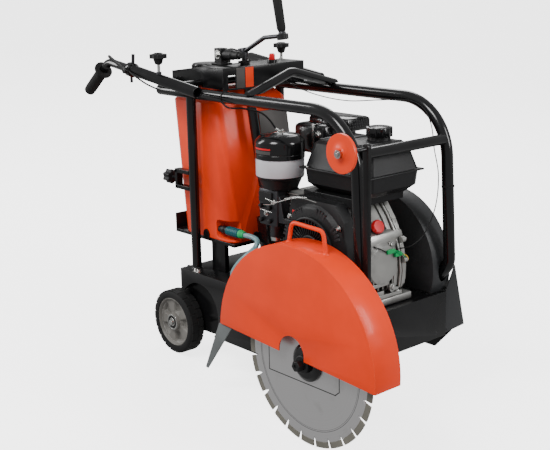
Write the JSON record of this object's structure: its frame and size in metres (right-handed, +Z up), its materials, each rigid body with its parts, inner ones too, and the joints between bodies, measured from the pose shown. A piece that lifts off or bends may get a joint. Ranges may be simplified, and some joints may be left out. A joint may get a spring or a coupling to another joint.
{
  "type": "walk-behind concrete saw",
  "caption": "Petrol walk-behind concrete saw with an orange half-disc blade guard, leaning water tank, tube frame and push handles.",
  "frame": {"origin": "bottom centre of the whole saw's box, on the floor", "axes": "+X forward in the cutting direction, +Y to the side away from the blade, +Z up; the machine itself stands 5.8 degrees nose-up in its transport pose"},
  "size_m": [1.3544, 0.58, 1.106],
  "materials": {
    "black": "semi-gloss powder coat",
    "cast": "cast, blasted",
    "flap": "grey flap",
    "grey": "grey moulded",
    "hose": "translucent hose",
    "orange": "gloss powder coat",
    "orange_plastic": "moulded orange plastic",
    "plastic": "moulded black plastic",
    "red": "red",
    "rubber": "matt rubber",
    "steel": "bare steel",
    "teal": "teal",
    "tyre": "matt tyre rubber"
  },
  "bodies": {
    "machine_frame": {"air_cleaner": "plastic", "bearing_far": "cast", "bearing_near": "cast", "belt_guard": "plastic", "carburettor": "cast", "chassis": "black", "console": "black", "cross_tube": "black", "engine_block": "cast", "fan_cover": "plastic", "frame_far": "black", "frame_near": "black", "fuel_tank": "plastic", "handle_bar": "black", "handle_sleeve_far": "black", "handle_sleeve_near": "black", "heat_shield": "grey", "lifting_bail": "black", "muffler": "plastic", "rear_axle": "steel", "screw_housing": "black", "stop_wire": "rubber", "throttle_cable": "rubber", "tray": "black", "v_belt": "rubber", "water_hose": "hose", "water_tank": "orange_plastic", "water_tap": "teal", "wing_plate": "black"},
    "blade_assembly": {"blade_shaft": "steel", "blade": "steel", "outer_flange": "plastic", "blade_bolt": "plastic"},
    "crankshaft": {"engine_shaft": "steel"},
    "rear_wheel_near": {"rear_hub_near": "grey", "rear_tyre_near": "tyre"},
    "rear_wheel_far": {"rear_hub_far": "grey", "rear_tyre_far": "tyre"},
    "carriage": {"front_carriage": "black"},
    "roller_near": {"front_wheel_near": "tyre"},
    "roller_far": {"front_wheel_far": "tyre"},
    "lift_rod": {"push_rod": "steel"},
    "crank": {"depth_crank": "steel"},
    "crank_handle": {"crank_grip": "plastic"},
    "guard": {"blade_guard": "orange", "splash_flap": "flap"},
    "guide": {"guide_bar": "black"},
    "guide_roller": {"guide_wheel": "orange_plastic"},
    "handle_near": {"handle_tube_near": "black", "grip_near": "rubber"},
    "handle_far": {"handle_tube_far": "black", "grip_far": "rubber"},
    "knob_near": {"lock_knob_near": "plastic"},
    "knob_far": {"lock_knob_far": "plastic"},
    "bracket_knob": {"clamp_knob": "plastic"},
    "throttle": {"throttle_lever": "plastic"},
    "button": {"stop_button": "red"},
    "lid": {"tank_lid": "plastic"},
    "cap": {"fuel_cap": "plastic"},
    "starter": {"recoil_grip": "plastic"}
  },
  "joints": [
    {"name": "blade_spin", "type": "hinge", "parent": "machine_frame", "child": "blade_assembly", "pos_m": [0.41934, -0.243, 0.23275], "axis": [0, 1, 0], "continuous": true},
    {"name": "crankshaft_spin", "type": "hinge", "parent": "machine_frame", "child": "crankshaft", "pos_m": [0.33741, -0.243, 0.44556], "axis": [0, 1, 0], "continuous": true},
    {"name": "rear_wheel_near_spin", "type": "hinge", "parent": "machine_frame", "child": "rear_wheel_near", "pos_m": [-0.22533, -0.17, 0.09792], "axis": [0, 1, 0], "continuous": true},
    {"name": "rear_wheel_far_spin", "type": "hinge", "parent": "machine_frame", "child": "rear_wheel_far", "pos_m": [-0.22533, 0.225, 0.09792], "axis": [0, 1, 0], "continuous": true},
    {"name": "carriage_swing", "type": "hinge", "parent": "machine_frame", "child": "carriage", "pos_m": [-0.05618, 0.0275, 0.16435], "axis": [0, -1, 0], "range_deg": [0, 22]},
    {"name": "roller_near_spin", "type": "hinge", "parent": "carriage", "child": "roller_near", "pos_m": [0.30516, -0.061, 0.07039], "axis": [0, 1, 0], "continuous": true},
    {"name": "roller_far_spin", "type": "hinge", "parent": "carriage", "child": "roller_far", "pos_m": [0.30516, 0.116, 0.07039], "axis": [0, 1, 0], "continuous": true},
    {"name": "rod_travel", "type": "slide", "parent": "machine_frame", "child": "lift_rod", "axis": [-0.2987, 0, 0.9544], "range_m": [0, 0.0562]},
    {"name": "crank_turn", "type": "hinge", "parent": "machine_frame", "child": "crank", "pos_m": [-0.1506, -0.018, 0.91565], "axis": [-0.2987, 0, 0.9544], "range_deg": [0, 2516.5]},
    {"name": "crank_grip_spin", "type": "hinge", "parent": "crank", "child": "crank_handle", "pos_m": [0.01209, -0.018, 0.98646], "axis": [-0.2987, 0, 0.9544], "continuous": true},
    {"name": "guard_tilt", "type": "hinge", "parent": "machine_frame", "child": "guard", "pos_m": [0.41934, -0.243, 0.23275], "axis": [0, 1, 0], "range_deg": [-10, 10]},
    {"name": "guide_fold", "type": "hinge", "parent": "machine_frame", "child": "guide", "pos_m": [0.53313, -0.158, 0.32472], "axis": [0, 1, 0], "range_deg": [0, 125]},
    {"name": "guide_wheel_spin", "type": "hinge", "parent": "guide", "child": "guide_roller", "pos_m": [0.48444, -0.243, 0.79421], "axis": [0, 1, 0], "continuous": true},
    {"name": "handle_near_slide", "type": "slide", "parent": "machine_frame", "child": "handle_near", "axis": [-0.9994, 0, 0.0335], "range_m": [-0.04, 0.08]},
    {"name": "handle_far_slide", "type": "slide", "parent": "machine_frame", "child": "handle_far", "axis": [-0.9994, 0, 0.0335], "range_m": [-0.04, 0.08]},
    {"name": "lock_knob_near_turn", "type": "hinge", "parent": "machine_frame", "child": "knob_near", "pos_m": [-0.29559, -0.207, 0.84892], "axis": [-0.1011, 0, 0.9949], "range_deg": [0, 360]},
    {"name": "lock_knob_far_turn", "type": "hinge", "parent": "machine_frame", "child": "knob_far", "pos_m": [-0.29559, 0.262, 0.84892], "axis": [-0.1011, 0, 0.9949], "range_deg": [0, 360]},
    {"name": "clamp_knob_turn", "type": "hinge", "parent": "machine_frame", "child": "bracket_knob", "pos_m": [-0.28293, -0.143, 0.53232], "axis": [-0.9949, 0, -0.1011], "range_deg": [0, 360]},
    {"name": "throttle_swing", "type": "hinge", "parent": "machine_frame", "child": "throttle", "pos_m": [-0.43194, -0.2285, 0.83564], "axis": [0, 1, 0], "range_deg": [0, 30]},
    {"name": "stop_press", "type": "slide", "parent": "machine_frame", "child": "button", "axis": [0.1011, 0, -0.9949], "range_m": [0, 0.004], "stiffness_N_per_m": 300},
    {"name": "tank_lid_turn", "type": "hinge", "parent": "machine_frame", "child": "lid", "pos_m": [-0.2742, -0.043, 0.84621], "axis": [-0.1011, 0, 0.9949], "range_deg": [0, 270]},
    {"name": "fuel_cap_turn", "type": "hinge", "parent": "machine_frame", "child": "cap", "pos_m": [0.33479, 0.047, 0.76825], "axis": [-0.1011, 0, 0.9949], "range_deg": [0, 90]},
    {"name": "starter_pull", "type": "slide", "parent": "machine_frame", "child": "starter", "axis": [0, -1, 0], "range_m": [0, 0.45], "stiffness_N_per_m": 12}
  ],
  "couplings": [
    {"joint": "crankshaft_spin", "follows": "blade_spin", "ratio": 1.3158},
    {"joint": "rod_travel", "follows": "carriage_swing", "m_per_rad": 0.14558},
    {"joint": "crank_turn", "follows": "carriage_swing", "ratio": 114.34}
  ]
}
